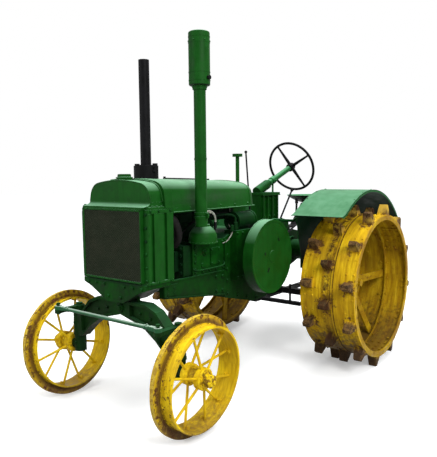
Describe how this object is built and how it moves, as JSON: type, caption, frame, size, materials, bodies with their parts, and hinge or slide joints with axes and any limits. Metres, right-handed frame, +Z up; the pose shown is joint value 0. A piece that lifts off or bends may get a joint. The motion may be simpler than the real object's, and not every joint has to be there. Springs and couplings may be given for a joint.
{
  "type": "farm tractor",
  "caption": "Standard-tread farm tractor on steel wheels: lugged rear wheels with extension rims, arched steerable front axle, open engine with side flywheel and belt pulley",
  "frame": {"origin": "on the ground on the centre line, midway between the foremost and rearmost points", "axes": "X forward, Y to the driver's left, Z up"},
  "size_m": [2.963, 1.96, 2.366],
  "materials": {
    "green_paint": "worn gloss",
    "yellow_paint": "worn gloss with rust",
    "black_paint": "satin",
    "core_metal": "dull",
    "bare_steel": "machined"
  },
  "bodies": {
    "chassis": {"main_case": "green_paint", "rear_axle_housings": "green_paint", "front_frame": "green_paint", "front_axle": "green_paint", "cylinder_block": "green_paint", "manifold": "green_paint", "governor_case": "green_paint", "air_cleaner": "green_paint", "intake_pipe": "green_paint", "precleaner": "green_paint", "exhaust_stack": "black_paint", "radiator": "green_paint", "radiator_screen": "core_metal", "radiator_top_tank": "green_paint", "hood": "green_paint", "breather_pipe": "green_paint", "steering_gear_case": "green_paint", "steering_column_post": "black_paint", "gear_lever": "black_paint", "throttle_rod": "black_paint", "seat": "green_paint", "seat_spring": "black_paint", "platform": "green_paint", "left_fender": "green_paint", "right_fender": "green_paint", "fender_brace": "green_paint", "drawbar": "black_paint", "drawbar_support": "black_paint", "fan_bracket": "green_paint"},
    "crank_group": {"crankshaft": "bare_steel", "flywheel": "green_paint", "belt_pulley": "green_paint"},
    "fan_body": {"fan": "black_paint"},
    "steering_wheel_body": {"steering_wheel": "black_paint"},
    "tie_rod_body": {"tie_rod": "green_paint"},
    "left_rear_wheel": {"left_rear_rim": "yellow_paint", "left_rear_extension_rim": "yellow_paint", "left_rear_wheel_hub": "yellow_paint"},
    "left_front_wheel": {"left_front_rim": "yellow_paint", "left_front_wheel_hub": "yellow_paint"},
    "left_knuckle_body": {"left_knuckle": "green_paint"},
    "right_rear_wheel": {"right_rear_rim": "yellow_paint", "right_rear_extension_rim": "yellow_paint", "right_rear_wheel_hub": "yellow_paint"},
    "right_front_wheel": {"right_front_rim": "yellow_paint", "right_front_wheel_hub": "yellow_paint"},
    "right_knuckle_body": {"right_knuckle": "green_paint"}
  },
  "joints": [
    {"name": "left_steer", "type": "hinge", "parent": "chassis", "child": "left_knuckle_body", "pos_m": [1.1235, 0.45, 0.5], "axis": [0, 0, 1], "range_deg": [-30, 30]},
    {"name": "right_steer", "type": "hinge", "parent": "chassis", "child": "right_knuckle_body", "pos_m": [1.1235, -0.45, 0.5], "axis": [0, 0, 1], "range_deg": [-30, 30]},
    {"name": "tie_rod_hinge", "type": "hinge", "parent": "left_knuckle_body", "child": "tie_rod_body", "pos_m": [1.2935, 0.45, 0.6466], "axis": [0, 0, 1], "range_deg": [-30, 30]},
    {"name": "steering_wheel_turn", "type": "hinge", "parent": "chassis", "child": "steering_wheel_body", "pos_m": [-0.9385, 0, 1.569], "axis": [-0.9367, 0, 0.3502], "range_deg": [-360, 360]},
    {"name": "left_rear_wheel_spin", "type": "hinge", "parent": "chassis", "child": "left_rear_wheel", "pos_m": [-0.6815, 0.65, 0.62855], "axis": [0, 1, 0], "continuous": true},
    {"name": "left_front_wheel_spin", "type": "hinge", "parent": "left_knuckle_body", "child": "left_front_wheel", "pos_m": [1.1235, 0.58818, 0.35678], "axis": [0, 0.9976, -0.0698], "continuous": true},
    {"name": "right_rear_wheel_spin", "type": "hinge", "parent": "chassis", "child": "right_rear_wheel", "pos_m": [-0.6815, -0.65, 0.62855], "axis": [0, 1, 0], "continuous": true},
    {"name": "right_front_wheel_spin", "type": "hinge", "parent": "right_knuckle_body", "child": "right_front_wheel", "pos_m": [1.1235, -0.58818, 0.35678], "axis": [0, 0.9976, 0.0698], "continuous": true},
    {"name": "crankshaft_spin", "type": "hinge", "parent": "chassis", "child": "crank_group", "pos_m": [0.1565, 0, 0.921], "axis": [0, 1, 0], "continuous": true},
    {"name": "fan_spin", "type": "hinge", "parent": "chassis", "child": "fan_body", "pos_m": [0.9085, 0, 1.074], "axis": [1, 0, 0], "continuous": true}
  ],
  "couplings": [
    {"joint": "right_steer", "follows": "left_steer", "ratio": 1},
    {"joint": "tie_rod_hinge", "follows": "left_steer", "ratio": -1},
    {"joint": "steering_wheel_turn", "follows": "left_steer", "ratio": 12}
  ]
}
